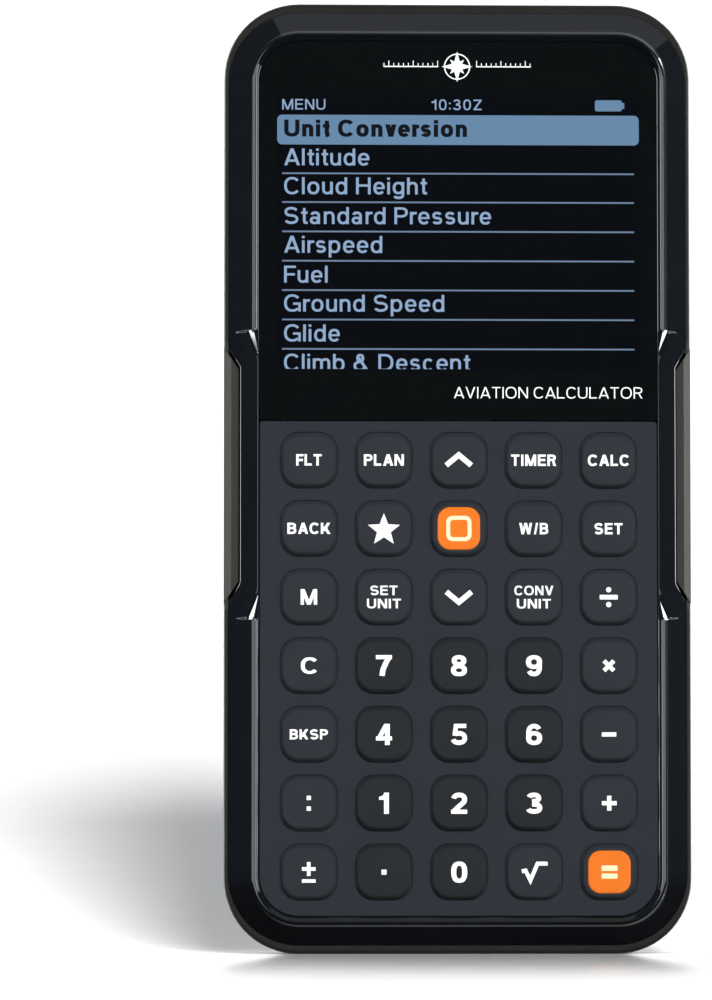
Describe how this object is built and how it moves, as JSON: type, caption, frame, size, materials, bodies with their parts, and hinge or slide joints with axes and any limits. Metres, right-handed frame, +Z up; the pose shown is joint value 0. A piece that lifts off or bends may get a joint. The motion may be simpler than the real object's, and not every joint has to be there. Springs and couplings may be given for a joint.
{
  "type": "electronic flight computer",
  "caption": "Handheld electronic flight computer: gloss black bezel with waisted sides, colour screen above a silicone keypad, hinged battery door in the back.",
  "frame": {"origin": "middle of the bottom edge, where the computer stands upright: centre of the bounding box's bottom", "axes": "+Z up along the tall side, -Y out of the screen and keypad towards the reader, +X to the reader's right"},
  "size_m": [0.0826, 0.019, 0.168],
  "materials": {
    "gloss_black": "gloss",
    "shell_olive": "matte",
    "window_glass": "gloss",
    "foam_black": "matte",
    "lcd_glass": "satin",
    "backlight_white": "matte",
    "silicone_slate": "matte",
    "key_rubber": "matte",
    "key_rubber_dark": "matte",
    "key_orange": "satin",
    "board_green": "satin",
    "gold_plate": "satin",
    "chip_black": "matte",
    "ribbon_amber": "satin",
    "screw_steel": "satin",
    "socket_steel": "satin",
    "cell_wrap": "gloss",
    "contact_nickel": "satin",
    "spring_steel": "satin",
    "foot_rubber": "matte",
    "button_black": "satin"
  },
  "bodies": {
    "case": {"front_bezel": "gloss_black", "rear_shell": "shell_olive", "display_window": "window_glass", "window_gasket": "foam_black", "lcd_panel": "lcd_glass", "lcd_backlight": "backlight_white", "keypad_mat": "silicone_slate", "main_board": "board_green", "key_contacts": "gold_plate", "upper_board": "board_green", "board_chips": "chip_black", "beeper": "chip_black", "board_ribbon": "ribbon_amber", "board_screws": "screw_steel", "usb_socket": "socket_steel", "power_switch": "chip_black", "battery_cells": "cell_wrap", "battery_contacts": "contact_nickel", "battery_springs": "spring_steel", "case_screws": "screw_steel", "rubber_feet": "foot_rubber"},
    "battery_door": {"battery_door": "shell_olive"},
    "power_button": {"power_button": "button_black"},
    "key_sign": {"key_sign": "key_rubber"},
    "key_point": {"key_point": "key_rubber"},
    "key_0": {"key_0": "key_rubber_dark"},
    "key_root": {"key_root": "key_rubber"},
    "key_equals": {"key_equals": "key_rubber", "key_equals_cap": "key_orange"},
    "key_colon": {"key_colon": "key_rubber"},
    "key_1": {"key_1": "key_rubber_dark"},
    "key_2": {"key_2": "key_rubber_dark"},
    "key_3": {"key_3": "key_rubber_dark"},
    "key_plus": {"key_plus": "key_rubber"},
    "key_backspace": {"key_backspace": "key_rubber"},
    "key_4": {"key_4": "key_rubber_dark"},
    "key_5": {"key_5": "key_rubber_dark"},
    "key_6": {"key_6": "key_rubber_dark"},
    "key_minus": {"key_minus": "key_rubber"},
    "key_clear": {"key_clear": "key_rubber"},
    "key_7": {"key_7": "key_rubber_dark"},
    "key_8": {"key_8": "key_rubber_dark"},
    "key_9": {"key_9": "key_rubber_dark"},
    "key_multiply": {"key_multiply": "key_rubber"},
    "key_memory": {"key_memory": "key_rubber"},
    "key_set_unit": {"key_set_unit": "key_rubber"},
    "key_down": {"key_down": "key_rubber"},
    "key_conv_unit": {"key_conv_unit": "key_rubber"},
    "key_divide": {"key_divide": "key_rubber"},
    "key_back": {"key_back": "key_rubber"},
    "key_star": {"key_star": "key_rubber"},
    "key_select": {"key_select": "key_rubber", "key_select_cap": "key_orange"},
    "key_wb": {"key_wb": "key_rubber"},
    "key_set": {"key_set": "key_rubber"},
    "key_flt": {"key_flt": "key_rubber"},
    "key_plan": {"key_plan": "key_rubber"},
    "key_up": {"key_up": "key_rubber"},
    "key_timer": {"key_timer": "key_rubber"},
    "key_calc": {"key_calc": "key_rubber"}
  },
  "joints": [
    {"name": "battery_door_hinge", "type": "hinge", "parent": "case", "child": "battery_door", "pos_m": [0, 0.0074, 0.0138], "axis": [-1, 0, 0], "range_deg": [0, 90]},
    {"name": "power_button_press", "type": "slide", "parent": "case", "child": "power_button", "axis": [0, 0, -1], "range_m": [0, 0.0006], "stiffness_N_per_m": 500, "springref_m": -0.002},
    {"name": "key_sign_press", "type": "slide", "parent": "case", "child": "key_sign", "axis": [0, 1, 0], "range_m": [0, 0.0008], "stiffness_N_per_m": 500, "springref_m": -0.001},
    {"name": "key_point_press", "type": "slide", "parent": "case", "child": "key_point", "axis": [0, 1, 0], "range_m": [0, 0.0008], "stiffness_N_per_m": 500, "springref_m": -0.001},
    {"name": "key_0_press", "type": "slide", "parent": "case", "child": "key_0", "axis": [0, 1, 0], "range_m": [0, 0.0008], "stiffness_N_per_m": 500, "springref_m": -0.001},
    {"name": "key_root_press", "type": "slide", "parent": "case", "child": "key_root", "axis": [0, 1, 0], "range_m": [0, 0.0008], "stiffness_N_per_m": 500, "springref_m": -0.001},
    {"name": "key_equals_press", "type": "slide", "parent": "case", "child": "key_equals", "axis": [0, 1, 0], "range_m": [0, 0.0008], "stiffness_N_per_m": 500, "springref_m": -0.001},
    {"name": "key_colon_press", "type": "slide", "parent": "case", "child": "key_colon", "axis": [0, 1, 0], "range_m": [0, 0.0008], "stiffness_N_per_m": 500, "springref_m": -0.001},
    {"name": "key_1_press", "type": "slide", "parent": "case", "child": "key_1", "axis": [0, 1, 0], "range_m": [0, 0.0008], "stiffness_N_per_m": 500, "springref_m": -0.001},
    {"name": "key_2_press", "type": "slide", "parent": "case", "child": "key_2", "axis": [0, 1, 0], "range_m": [0, 0.0008], "stiffness_N_per_m": 500, "springref_m": -0.001},
    {"name": "key_3_press", "type": "slide", "parent": "case", "child": "key_3", "axis": [0, 1, 0], "range_m": [0, 0.0008], "stiffness_N_per_m": 500, "springref_m": -0.001},
    {"name": "key_plus_press", "type": "slide", "parent": "case", "child": "key_plus", "axis": [0, 1, 0], "range_m": [0, 0.0008], "stiffness_N_per_m": 500, "springref_m": -0.001},
    {"name": "key_backspace_press", "type": "slide", "parent": "case", "child": "key_backspace", "axis": [0, 1, 0], "range_m": [0, 0.0008], "stiffness_N_per_m": 500, "springref_m": -0.001},
    {"name": "key_4_press", "type": "slide", "parent": "case", "child": "key_4", "axis": [0, 1, 0], "range_m": [0, 0.0008], "stiffness_N_per_m": 500, "springref_m": -0.001},
    {"name": "key_5_press", "type": "slide", "parent": "case", "child": "key_5", "axis": [0, 1, 0], "range_m": [0, 0.0008], "stiffness_N_per_m": 500, "springref_m": -0.001},
    {"name": "key_6_press", "type": "slide", "parent": "case", "child": "key_6", "axis": [0, 1, 0], "range_m": [0, 0.0008], "stiffness_N_per_m": 500, "springref_m": -0.001},
    {"name": "key_minus_press", "type": "slide", "parent": "case", "child": "key_minus", "axis": [0, 1, 0], "range_m": [0, 0.0008], "stiffness_N_per_m": 500, "springref_m": -0.001},
    {"name": "key_clear_press", "type": "slide", "parent": "case", "child": "key_clear", "axis": [0, 1, 0], "range_m": [0, 0.0008], "stiffness_N_per_m": 500, "springref_m": -0.001},
    {"name": "key_7_press", "type": "slide", "parent": "case", "child": "key_7", "axis": [0, 1, 0], "range_m": [0, 0.0008], "stiffness_N_per_m": 500, "springref_m": -0.001},
    {"name": "key_8_press", "type": "slide", "parent": "case", "child": "key_8", "axis": [0, 1, 0], "range_m": [0, 0.0008], "stiffness_N_per_m": 500, "springref_m": -0.001},
    {"name": "key_9_press", "type": "slide", "parent": "case", "child": "key_9", "axis": [0, 1, 0], "range_m": [0, 0.0008], "stiffness_N_per_m": 500, "springref_m": -0.001},
    {"name": "key_multiply_press", "type": "slide", "parent": "case", "child": "key_multiply", "axis": [0, 1, 0], "range_m": [0, 0.0008], "stiffness_N_per_m": 500, "springref_m": -0.001},
    {"name": "key_memory_press", "type": "slide", "parent": "case", "child": "key_memory", "axis": [0, 1, 0], "range_m": [0, 0.0008], "stiffness_N_per_m": 500, "springref_m": -0.001},
    {"name": "key_set_unit_press", "type": "slide", "parent": "case", "child": "key_set_unit", "axis": [0, 1, 0], "range_m": [0, 0.0008], "stiffness_N_per_m": 500, "springref_m": -0.001},
    {"name": "key_down_press", "type": "slide", "parent": "case", "child": "key_down", "axis": [0, 1, 0], "range_m": [0, 0.0008], "stiffness_N_per_m": 500, "springref_m": -0.001},
    {"name": "key_conv_unit_press", "type": "slide", "parent": "case", "child": "key_conv_unit", "axis": [0, 1, 0], "range_m": [0, 0.0008], "stiffness_N_per_m": 500, "springref_m": -0.001},
    {"name": "key_divide_press", "type": "slide", "parent": "case", "child": "key_divide", "axis": [0, 1, 0], "range_m": [0, 0.0008], "stiffness_N_per_m": 500, "springref_m": -0.001},
    {"name": "key_back_press", "type": "slide", "parent": "case", "child": "key_back", "axis": [0, 1, 0], "range_m": [0, 0.0008], "stiffness_N_per_m": 500, "springref_m": -0.001},
    {"name": "key_star_press", "type": "slide", "parent": "case", "child": "key_star", "axis": [0, 1, 0], "range_m": [0, 0.0008], "stiffness_N_per_m": 500, "springref_m": -0.001},
    {"name": "key_select_press", "type": "slide", "parent": "case", "child": "key_select", "axis": [0, 1, 0], "range_m": [0, 0.0008], "stiffness_N_per_m": 500, "springref_m": -0.001},
    {"name": "key_wb_press", "type": "slide", "parent": "case", "child": "key_wb", "axis": [0, 1, 0], "range_m": [0, 0.0008], "stiffness_N_per_m": 500, "springref_m": -0.001},
    {"name": "key_set_press", "type": "slide", "parent": "case", "child": "key_set", "axis": [0, 1, 0], "range_m": [0, 0.0008], "stiffness_N_per_m": 500, "springref_m": -0.001},
    {"name": "key_flt_press", "type": "slide", "parent": "case", "child": "key_flt", "axis": [0, 1, 0], "range_m": [0, 0.0008], "stiffness_N_per_m": 500, "springref_m": -0.001},
    {"name": "key_plan_press", "type": "slide", "parent": "case", "child": "key_plan", "axis": [0, 1, 0], "range_m": [0, 0.0008], "stiffness_N_per_m": 500, "springref_m": -0.001},
    {"name": "key_up_press", "type": "slide", "parent": "case", "child": "key_up", "axis": [0, 1, 0], "range_m": [0, 0.0008], "stiffness_N_per_m": 500, "springref_m": -0.001},
    {"name": "key_timer_press", "type": "slide", "parent": "case", "child": "key_timer", "axis": [0, 1, 0], "range_m": [0, 0.0008], "stiffness_N_per_m": 500, "springref_m": -0.001},
    {"name": "key_calc_press", "type": "slide", "parent": "case", "child": "key_calc", "axis": [0, 1, 0], "range_m": [0, 0.0008], "stiffness_N_per_m": 500, "springref_m": -0.001}
  ]
}
